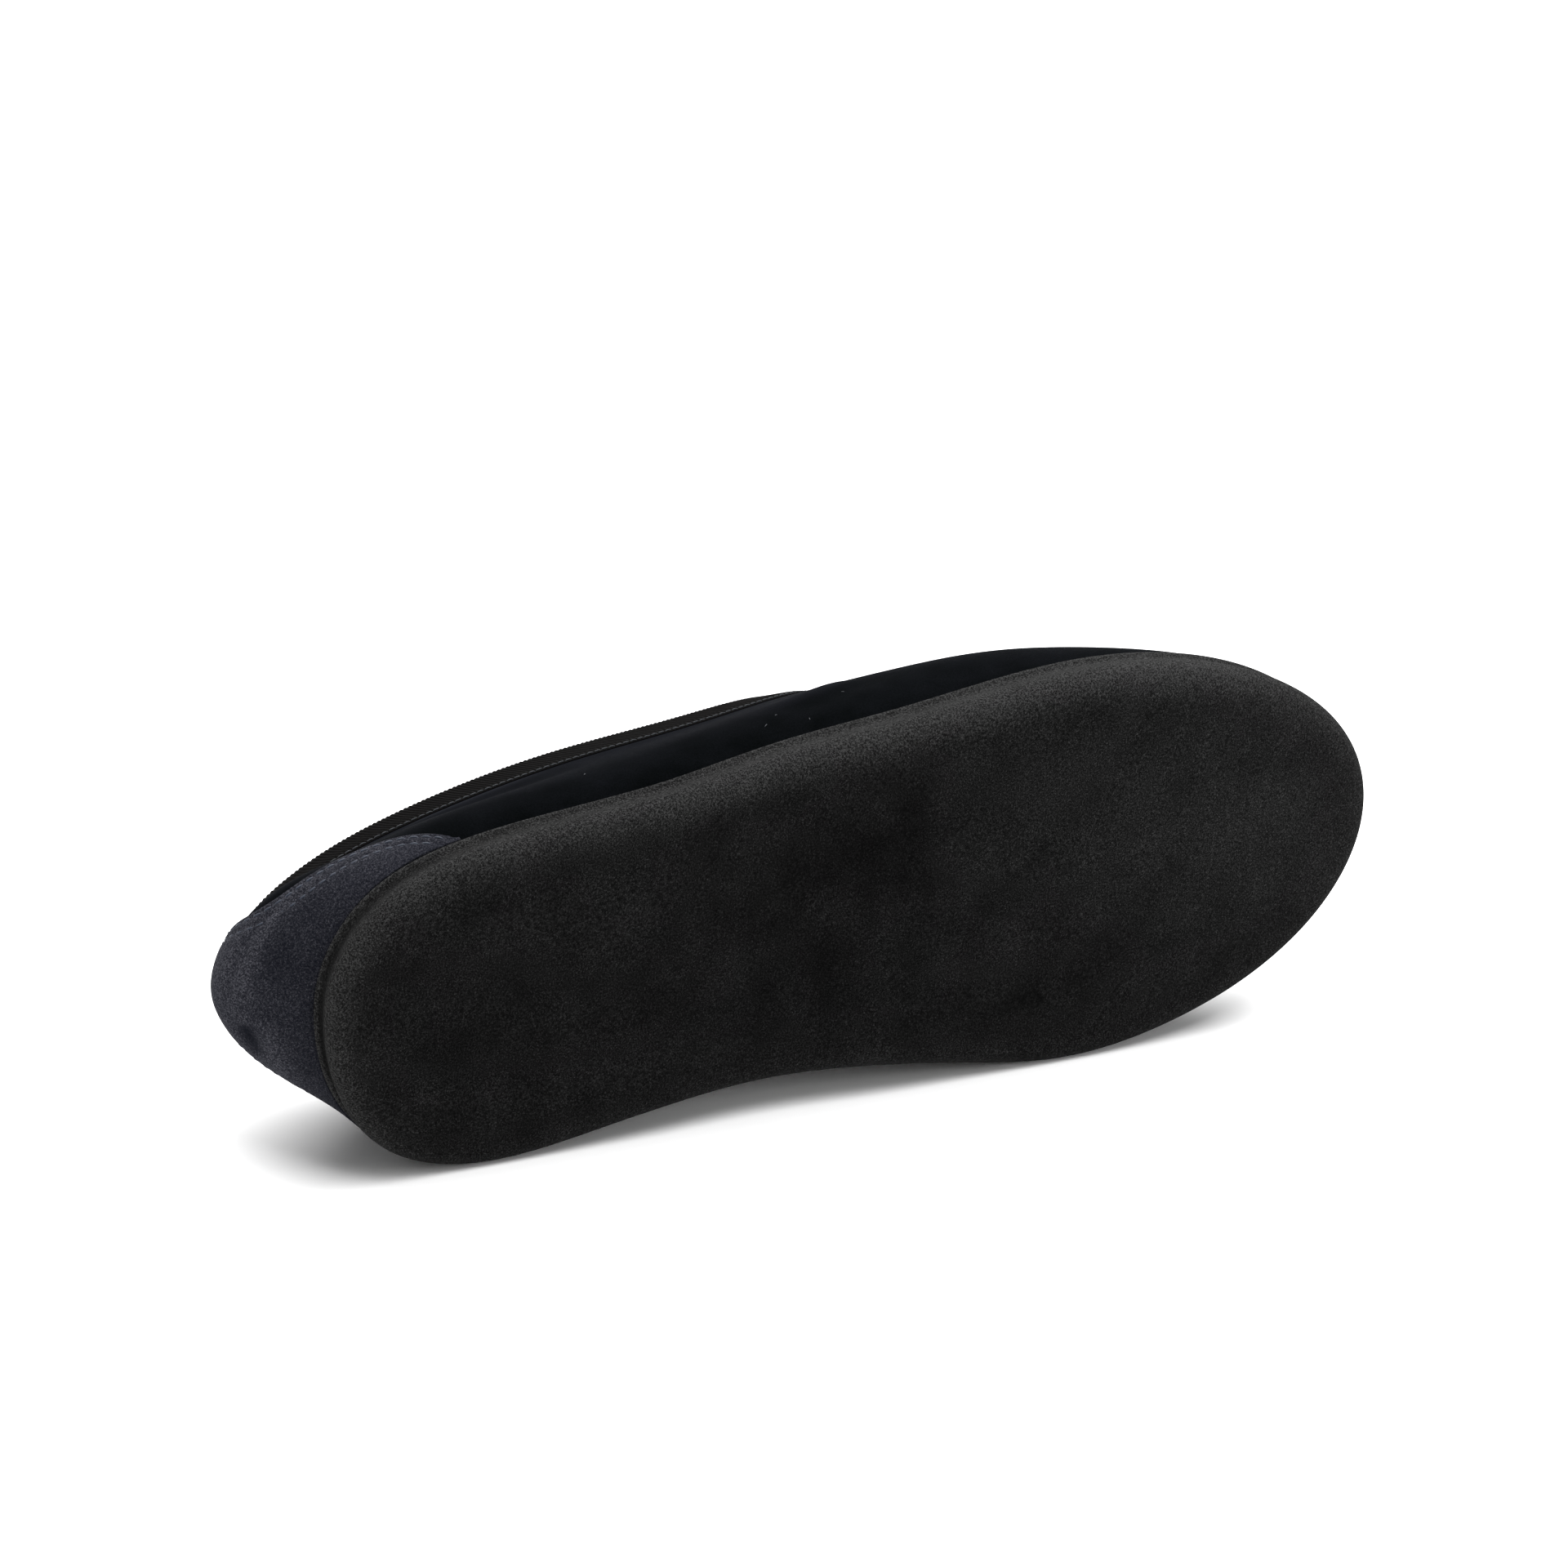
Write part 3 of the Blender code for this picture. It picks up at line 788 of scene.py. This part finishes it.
def cut_pile_velvet(colours, sizes):
    """Cotton velvet with cut pile: upright fibres swallow light head on, and the shine where seen aslant is a
    sheen painted into the colour.
    """
    material, tree, place = new_material("cotton_velvet_cut_pile")
    tufts = add_node(tree, "TexNoise", {"Scale": 1 / sizes.pile_grain, "Detail": 2.0}, {"Vector": place})
    # Pile laid by handling, in patches of about a centimetre
    laid = add_node(tree, "TexNoise", {"Scale": 1 / (11 * MM), "Detail": 3.0}, {"Vector": place})
    tone = add_node(tree, "Math", {"operation": "MULTIPLY"},
                    {0: laid.outputs["Fac"], 1: tufts.outputs["Fac"]})
    tone_and_light_input = add_node(tree, "Attribute", {"attribute_name": "tone_and_painted_light"}, {})
    tone_with_painted_light = add_node(tree, "Math", {"operation": "ADD"},
                       {0: tone.outputs["Value"], 1: tone_and_light_input.outputs["Fac"]})
    # Painted sheen: lighter colour where the pile is seen aslant, added to the per-point painted highlight
    # and shade
    slant = add_node(tree, "LayerWeight", {"Blend": 0.25}, {})
    share = add_node(tree, "Math", {"operation": "MULTIPLY_ADD", 1: 0.5, "use_clamp": True},
                     {0: slant.outputs["Facing"], 2: tone_with_painted_light.outputs["Value"]})
    set_shader(tree, share.outputs["Value"], colours.velvet, colours.velvet_painted_sheen, tufts.outputs["Fac"],
               {"Strength": 0.5, "Distance": 0.12 * MM}, Roughness=1.0, IOR=1.45, Specular_IOR_Level=0.01,
               Sheen_Weight=0.012, Sheen_Roughness=0.35, Sheen_Tint=(0.85, 0.9, 1.0, 1))
    return material


def ribbed_grosgrain(colours, sizes):
    """Rayon grosgrain: fine warp over heavy weft ribs, a low sheen along each rib's crown, painted in as a
    lighter colour there.
    """
    material, tree, place = new_material("rayon_grosgrain")
    # Warp threads are a quarter of a rib's pitch
    warp = add_node(tree, "TexNoise", {"Scale": 4 / sizes.rib_pitch, "Detail": 1.0}, {"Vector": place})
    # Per-point tone of the rib crowns, where a painted highlight lightens the colour
    crown = add_node(tree, "Attribute", {"attribute_name": "tone_and_painted_light"}, {})
    tone = add_node(tree, "Math", {"operation": "MULTIPLY", "use_clamp": True},
                    {0: crown.outputs["Fac"], 1: warp.outputs["Fac"]})
    set_shader(tree, tone.outputs["Value"], colours.ribbon, colours.ribbon_crown_highlight, warp.outputs["Fac"],
               {"Strength": 0.4, "Distance": 0.08 * MM}, Roughness=0.62, IOR=1.47, Specular_IOR_Level=0.03,
               Sheen_Weight=0.004, Sheen_Roughness=0.4, Sheen_Tint=(1.0, 0.9, 0.85, 1))
    return material


def spun_thread(name, colour):
    """Spun polyester thread or loose cotton fibre: twisted, matt with a slight lustre on each strand."""
    # Strands of the twist are about 0.2 mm wide
    return plain_material(name, "TexNoise", {"Scale": 1 / (0.2 * MM), "Detail": 1.0}, colour, 0.55,
                          {"Strength": 0.5, "Distance": 0.06 * MM},
                          Roughness=0.6, IOR=1.5, Specular_IOR_Level=0.3, Sheen_Weight=0.1)


def woven_twill(colours):
    """Cotton twill: fine diagonal wales, matt, a little lighter on the wales."""
    # Wales are 1.2 mm apart, drawn about twice as coarse as the cloth so that they show
    wales = {"Scale": 0.31 / (1.2 * MM), "Distortion": 0.6, "Detail": 1.0, "bands_direction": "DIAGONAL"}
    return plain_material("cotton_twill", "TexWave", wales, colours.lining, 0.6,
                          {"Strength": 0.4, "Distance": 0.1 * MM},
                          Roughness=0.9, IOR=1.47, Specular_IOR_Level=0.15, Sheen_Weight=0.08)


def felted_sock(colours):
    """Needled felt: matted short fibres, dull, with soft pills."""
    # Pills of the felt are about 1.4 mm wide
    pills = {"Scale": 1 / (1.4 * MM), "Detail": 4.0, "Roughness": 0.7}
    return plain_material("needled_felt", "TexNoise", pills, colours.sock, 0.6,
                          {"Strength": 0.6, "Distance": 0.25 * MM},
                          Roughness=0.95, IOR=1.47, Specular_IOR_Level=0.1, Sheen_Weight=0.1)


def matt_paper(colours):
    """Background paper: even, matt and nearly white."""
    # Clouds of pulp are about 3 mm wide and hardly show
    return plain_material("matt_paper", "TexNoise", {"Scale": 1 / (3 * MM), "Detail": 2.0},
                          colours.floor, 0.985, None, Roughness=1.0, Specular_IOR_Level=0.0)


# Counter: its edge

def counter_turns(count):
    """Turns around the heel that the counter covers, from its inner to its outer front end."""
    front = math.acos(1 - 2 * COUNTER_REACH / LENGTH)
    return np.linspace(-front, front, count)


def counter_edge(turns):
    """Share up the wall of the counter's top edge: a peak at the back, level sides, round front corners."""
    forward = np.abs(turns) / np.abs(turns).max()
    peak = (COUNTER_RISE - COUNTER_SIDE) * np.exp(-(forward / COUNTER_BACK) ** 2)
    level = COUNTER_SIDE * (1 - forward ** COUNTER_CORNER)
    return np.clip(peak + level, COUNTER_TIP, share_below_topline(turns, RIBBON_WIDTH + COUNTER_DROP))


def counter_line(count, below, lift):
    """Points along the counter's top edge, a width below it and at a lift, with their outward directions."""
    turns = counter_turns(count)
    edge = counter_edge(turns)
    across, upward = (step / (2 * SMALL_STEP) for step in wall_runs(turns, edge))
    run = np.gradient(wall(turns, edge), axis=0)
    inward = np.cross(run, wall_normal(turns, edge))
    inward *= np.sign(-(inward * upward).sum(axis=1, keepdims=True))
    inward *= below / np.linalg.norm(inward, axis=1, keepdims=True)
    step = (np.linalg.pinv(np.stack([across, upward], -1)) @ inward[..., None])[..., 0]
    turns = turns + step[:, 0]
    shares = edge + step[:, 1]
    return lifted(turns, shares, lift), wall_normal(turns, shares)


# Operators, one for each group of pieces and one for the stage

def scene_settings(context):
    """Sizes and colours of the scene."""
    return context.scene.slipper_sizes, context.scene.slipper_colours


class SLIPPER_OT_sole(bpy.types.Operator):
    """Padded sole wrapped in black suede, with a soft ridge, a sewn groove and a rolled edge"""
    bl_idname = "slipper.sole"
    bl_label = "Sole"

    def execute(self, context):
        sizes, colours = scene_settings(context)
        table = np.array(SOLE_SIDE[1:])
        places = table[:, :2] * MM
        reach = distance_along(places)
        inset = smooth_curve(reach, places[:, 0], False)
        height = smooth_curve(reach, places[:, 1], False)
        steps = np.linspace(0, reach[-1], SOLE_UP)
        side = [(float(inset(at)), float(height(at))) for at in steps]
        dents = rows_of(TREAD_DENTS)

        def face_lift(x, y):
            return sum(row["depth"] * MM * patch_weight(x, y, row) for row in dents)

        points, faces = slab(side, SOLE_AROUND, SOLE_ACROSS, face_lift)
        rings = SOLE_UP * SOLE_AROUND
        tones = np.zeros(len(points))
        # Painted light on the sole's side: highlight on the ridge and rolled edge, shade in the groove,
        # fading away from the heel
        tones[:rings] = np.repeat(np.interp(steps, reach, table[:, 2]), SOLE_AROUND)
        tones[:rings] *= np.clip(1 - points[:rings, 0] / PAINTED_SIDE_FADE, 0, 1)
        for row in rows_of(NAP_PATCHES):
            tones += row["tone"] * patch_weight(points[:, 0], points[:, 1], row)
        # Light rim: stretched nap and painted highlight, strongest on the upturned outer side
        rim, _ = outline(around(SOLE_AROUND))
        gap, place = nearest(points * (1, 1, 0), np.column_stack([rim, np.zeros(len(rim))]))
        tones += np.interp(360 * place, *RIM_NAP_AND_HIGHLIGHT) * np.exp(-(gap / RIM_FADE) ** 2)
        material = napped_suede("black_split_suede", colours.sole_dark, colours.sole_light, sizes.nap_grain,
                                contrast=5.8, patch_size=12 * MM, patch_share=0.17, level=0.108, sheen=0.01,
                                tint=(1, 1, 1))
        piece = add_piece("sole_wrap", points, faces, material, "sole", tones)
        return {"FINISHED"}


class SLIPPER_OT_insole(bpy.types.Operator):
    """Felted sock pad on the sole, inside the upper"""
    bl_idname = "slipper.insole"
    bl_label = "Insole"

    def execute(self, context):
        low = SOLE_THICKNESS + GAP
        top = low + INSOLE_THICKNESS
        side = [(INSOLE_INSET + inset * MM, low + share * INSOLE_THICKNESS) for inset, share in INSOLE_SIDE]
        points, faces = slab(side, INSOLE_AROUND, INSOLE_ACROSS, lambda x, y: 0.0)
        along = (points[:, 0] - DISH_PLACE * LENGTH) / DISH_ALONG
        across = points[:, 1] / DISH_ACROSS
        dish = DISH_DEPTH * np.exp(-along ** 2 - across ** 2)
        points[:, 2] -= np.where(points[:, 2] > top - DISH_DEPTH, dish, 0)
        piece = add_piece("sock_pad", points, faces, felted_sock(context.scene.slipper_colours), "insole")
        return {"FINISHED"}


class SLIPPER_OT_upper(bpy.types.Operator):
    """Velvet vamp and quarters with their creases, and the twill lining inside them"""
    bl_idname = "slipper.upper"
    bl_label = "Upper and lining"

    def execute(self, context):
        sizes, colours = scene_settings(context)
        turns = around(WALL_AROUND)[None, :]
        shares = np.linspace(0, 1, WALL_UP + 1)[:, None]
        turns, shares = np.broadcast_arrays(turns, shares)
        bound = share_below_topline(turns[0], RIBBON_WIDTH)[None, :]
        crease, lift = velvet_lift(turns, shares, bound)
        # Painted highlight on crease ridges and painted shade in troughs, then painted shade low by the sole
        # and painted sheen near the ribbon
        tone_with_painted_light = np.where(crease > 0, RIDGE_HIGHLIGHT, TROUGH_SHADE) * crease / MM
        tone_with_painted_light += np.interp(shares / bound, *VELVET_PAINTED_SHADING)
        depths = (0, sizes.velvet, sizes.velvet + LINING_GAP, UPPER_WALL)
        sheets = [lifted(turns, shares, lift - depth) for depth in depths]
        for sheet in sheets[1:]:
            sheet[0, :, 2] = sheets[0][0, :, 2]
        add_shell("velvet_upper", *sheets[:2], True, cut_pile_velvet(colours, sizes), "upper", "velvet",
                  tone_with_painted_light)
        add_shell("quarter_lining", *sheets[2:], True, woven_twill(colours), None, "velvet")
        return {"FINISHED"}


class SLIPPER_OT_lint(bpy.types.Operator):
    """Loose pale fibres caught on the velvet"""
    bl_idname = "slipper.lint"
    bl_label = "Lint"

    def execute(self, context):
        colours = context.scene.slipper_colours
        steps = np.linspace(-0.5, 0.5, LINT_STEPS)
        fibres = []
        for row in rows_of(LINT):
            turn = np.array([math.radians(row["around"])])
            up = np.array([row["up"]])
            _, lift = velvet_lift(turn, up, share_below_topline(turn, RIBBON_WIDTH))
            out = wall_normal(turn, up)
            run = unit(wall_runs(turn, up)[0])
            aside = math.radians(row["turn"])
            way = math.cos(aside) * run + math.sin(aside) * np.cross(out, run)
            length = row["length"] * MM
            line = lifted(turn, up, lift + LINT_WIDTH / 3) + steps[:, None] * length * way
            normals = np.repeat(out, LINT_STEPS, axis=0)
            fibres.append(stitch_row(line, normals, length, LINT_WIDTH, 1.0))
        points, faces = join_meshes(fibres)
        add_piece("lint_fibres", points, faces, spun_thread("loose_cotton_fibre", colours.lint), None)
        return {"FINISHED"}


class SLIPPER_OT_counter(bpy.types.Operator):
    """Navy suede counter around the heel with its two rows of stitches"""
    bl_idname = "slipper.counter"
    bl_label = "Heel counter"

    def execute(self, context):
        sizes, colours = scene_settings(context)
        turns = counter_turns(COUNTER_AROUND + 1)
        rows = np.linspace(0, 1, COUNTER_UP + 1)[:, None]
        shares = COUNTER_FOOT + (counter_edge(turns)[None, :] - COUNTER_FOOT) * rows
        turns = np.broadcast_to(turns[None, :], shares.shape)
        plain = lifted(turns, shares, GAP + COUNTER_THICKNESS)
        rim, _ = counter_line(EDGE_STEPS, 0, GAP + COUNTER_THICKNESS)
        gap, _ = nearest(plain, rim)
        near_rim = np.clip(gap / EDGE_ROUNDING, 0, 1)
        rounding = np.sqrt(1 - (1 - near_rim) ** 2)
        pucker = np.zeros(shares.shape)
        for row in (sizes.stitch_first, sizes.stitch_second):
            pucker -= PUCKER_DEPTH * np.exp(-((gap - row) / PUCKER_WIDTH) ** 2)
        crease = crease_lift(plain, COUNTER_CREASES) * np.clip(gap / CREASE_CLEAR, 0, 1)
        lift = GAP + COUNTER_THICKNESS * (EDGE_THIN + (1 - EDGE_THIN) * rounding) + pucker
        lift = np.maximum(lift + np.maximum(crease, -CREASE_DEEPEST), GAP + COUNTER_LEAST)
        outer = lifted(turns, shares, lift)
        inner = lifted(turns, shares, COUNTER_SEAT)
        # Painted highlight on crease ridges, painted shade in troughs and along the sole
        tone_with_painted_light = COUNTER_CREASE_SHADING * crease / MM + np.interp(shares, *COUNTER_PAINTED_SHADE)
        material = napped_suede("navy_split_suede", colours.counter_dark, colours.counter_light,
                                sizes.nap_grain, contrast=5.5, patch_size=12 * MM, patch_share=0.16,
                                level=0.26, sheen=0.02, tint=(0.9, 0.94, 1))
        add_shell("suede_counter", outer, inner, False, material, "heel_counter", "counter_suede", tone_with_painted_light)
        stitches = []
        for row in (sizes.stitch_first, sizes.stitch_second):
            line, normals = counter_line(SEAM_STEPS, row, GAP + COUNTER_THICKNESS - STITCH_SINK)
            keep = line[:, 2] > SOLE_THICKNESS + STITCH_STOP
            stitches.append(stitch_row(line[keep], normals[keep], sizes.stitch_pitch, sizes.stitch_width,
                                       STITCH_FILL))
        points, faces = join_meshes(stitches)
        add_piece("counter_stitches", points, faces, spun_thread("navy_thread", colours.thread), None)
        return {"FINISHED"}


class SLIPPER_OT_ribbon(bpy.types.Operator):
    """Ribbed ribbon folded over the topline, sewn along its lower edge"""
    bl_idname = "slipper.ribbon"
    bl_label = "Collar ribbon"

    def execute(self, context):
        sizes, colours = scene_settings(context)
        fine = np.linspace(0, 2 * math.pi, TOPLINE_STEPS)
        topline = wall(fine, np.ones_like(fine))
        reach = distance_along(topline)
        ribs = int(reach[-1] / sizes.rib_pitch)
        count = ribs * RIB_STEPS
        turns = np.interp(np.arange(count) * reach[-1] / count, reach, fine)
        phase = np.cos(np.arange(count) * 2 * math.pi / RIB_STEPS)
        low = share_below_topline(turns, RIBBON_WIDTH)
        turn_in = share_below_topline(turns, RIBBON_TURN_IN)
        ones = np.ones(count)
        half = RIBBON_THICKNESS / 2
        out_lift = GAP + half
        in_lift = -UPPER_WALL - out_lift
        over = unit(wall(turns, ones) - wall(turns, ones - SMALL_STEP))
        side = wall_normal(turns, ones)
        middle = lifted(turns, ones, -UPPER_WALL / 2)
        wide = UPPER_WALL / 2 + out_lift
        path = []
        for step, press in RIBBON_OUTER:
            share = low + (1 - low) * step
            path.append((lifted(turns, share, out_lift - press * GAP), wall_normal(turns, share)))
        for angle in np.linspace(0, math.pi, FOLD_STEPS):
            spread = math.cos(angle) * side
            rise = math.sin(angle) * over
            path.append((middle + wide * spread + out_lift * rise, spread + rise))
        for step in RIBBON_INNER:
            share = 1 - (1 - turn_in) * step
            path.append((lifted(turns, share, in_lift), -wall_normal(turns, share)))
        swell = half + sizes.rib_height * (phase[:, None] - 1) / 2
        full = [1.0] * (len(path) - len(RIBBON_EDGE_THIN) - 1)
        thin = np.array([*RIBBON_EDGE_THIN, *full, RIBBON_END_THIN])
        rows = [point + out * swell * part for (point, out), part in zip(path, thin)]
        rows += [point - out * half * part for (point, out), part in zip(path[::-1], thin[::-1])]
        total = len(rows) * count
        faces = [[at % total for at in face] for face in band_faces(len(rows) + 1, count)]
        # Painted highlight along each rib's crown on the outer face
        crown = np.concatenate([np.tile((phase + 1) / 2, len(path)), np.zeros(len(path) * count)])
        add_piece("ribbed_ribbon", np.concatenate(rows), faces, ribbed_grosgrain(colours, sizes),
                  "collar_ribbon", crown)
        # Nearly closed row of light thread: a stitch row that also paints the highlight along the ribbon's
        # lower edge
        fine = fine[:-1]
        seam = share_below_topline(fine, RIBBON_WIDTH - EDGE_INSET)
        line = lifted(fine, seam, GAP + EDGE_LIFT)
        points, faces = stitch_row(line, wall_normal(fine, seam), sizes.edge_pitch, sizes.edge_width,
                                   EDGE_FILL)
        add_piece("ribbon_stitches", points, faces, spun_thread("edge_thread_and_painted_highlight", colours.edge), None)
        return {"FINISHED"}


class SLIPPER_OT_stage(bpy.types.Operator):
    """Pale floor, soft light and the camera"""
    bl_idname = "slipper.stage"
    bl_label = "Stage"

    def execute(self, context):
        scene = context.scene
        stage = scene.slipper_stage
        aim = Vector(TURN @ np.array(stage.aim) + SHIFT)
        mesh = bpy.data.meshes.new("floor")
        corners = [(FLOOR_REACH * x, FLOOR_REACH * y, 0) for x, y in ((-1, -1), (1, -1), (1, 1), (-1, 1))]
        mesh.from_pydata(corners, [], [(0, 1, 2, 3)])
        mesh.materials.append(matt_paper(scene.slipper_colours))
        floor = bpy.data.objects.new("floor", mesh)
        scene.collection.objects.link(floor)
        powers = (stage.over, stage.front)
        for row, power in zip(rows_of(SOFTBOXES), powers):
            light = bpy.data.lights.new(row["name"], "AREA")
            light.energy = power
            light.size = row["size"]
            lamp = bpy.data.objects.new(row["name"], light)
            lamp.location = (row["x"], row["y"], row["z"])
            facing = Vector((row["aim_x"], row["aim_y"], row["aim_z"])) - lamp.location
            lamp.rotation_euler = facing.to_track_quat("-Z", "Y").to_euler()
            scene.collection.objects.link(lamp)
        world = bpy.data.worlds.new("white_surround")
        world.use_nodes = True
        shade = world.node_tree.nodes["Background"]
        shade.inputs["Color"].default_value = (1, 1, 1, 1)
        shade.inputs["Strength"].default_value = stage.sky
        scene.world = world
        camera_data = bpy.data.cameras.new("camera")
        camera_data.lens = stage.lens
        camera_data.sensor_width = SENSOR_WIDTH
        camera = bpy.data.objects.new("camera", camera_data)
        back = Vector(TURN @ np.array(stage.eye)).normalized()
        right = Vector(TURN @ np.array(stage.upright)).cross(back).normalized()
        facing = Matrix((right, back.cross(right), back)).transposed()
        camera.matrix_world = Matrix.Translation(aim + stage.distance * back) @ facing.to_4x4()
        scene.collection.objects.link(camera)
        scene.camera = camera
        scene.view_settings.view_transform = "Standard"
        return {"FINISHED"}


class SLIPPER_PT_pieces(bpy.types.Panel):
    """Lists the slipper's pieces and settings"""
    bl_idname = "SLIPPER_PT_pieces"
    bl_label = "Velvet slipper"
    bl_space_type = "VIEW_3D"
    bl_region_type = "UI"
    bl_category = "Slipper"

    def draw(self, context):
        layout = self.layout
        for operator in OPERATORS:
            layout.operator(operator.bl_idname, text=operator.bl_label)
        for group, kind in GROUPS.items():
            box = layout.box()
            for name in kind.__annotations__:
                box.prop(getattr(context.scene, group), name)


GROUPS = {"slipper_sizes": SlipperSizes, "slipper_colours": SlipperColours, "slipper_stage": SlipperStage}
OPERATORS = (SLIPPER_OT_sole, SLIPPER_OT_insole, SLIPPER_OT_upper, SLIPPER_OT_lint, SLIPPER_OT_counter,
             SLIPPER_OT_ribbon, SLIPPER_OT_stage)


def register():
    for name, group in GROUPS.items():
        bpy.utils.register_class(group)
        setattr(bpy.types.Scene, name, PointerProperty(type=group))
    for operator in OPERATORS:
        bpy.utils.register_class(operator)
    bpy.utils.register_class(SLIPPER_PT_pieces)


def unregister():
    bpy.utils.unregister_class(SLIPPER_PT_pieces)
    for operator in reversed(OPERATORS):
        bpy.utils.unregister_class(operator)
    for name, group in GROUPS.items():
        delattr(bpy.types.Scene, name)
        bpy.utils.unregister_class(group)


def main():
    """Registers the add-on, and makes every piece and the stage."""
    register()
    bpy.ops.slipper.sole()
    bpy.ops.slipper.insole()
    bpy.ops.slipper.upper()
    bpy.ops.slipper.lint()
    bpy.ops.slipper.counter()
    bpy.ops.slipper.ribbon()
    bpy.ops.slipper.stage()


if __name__ == "__main__":
    main()
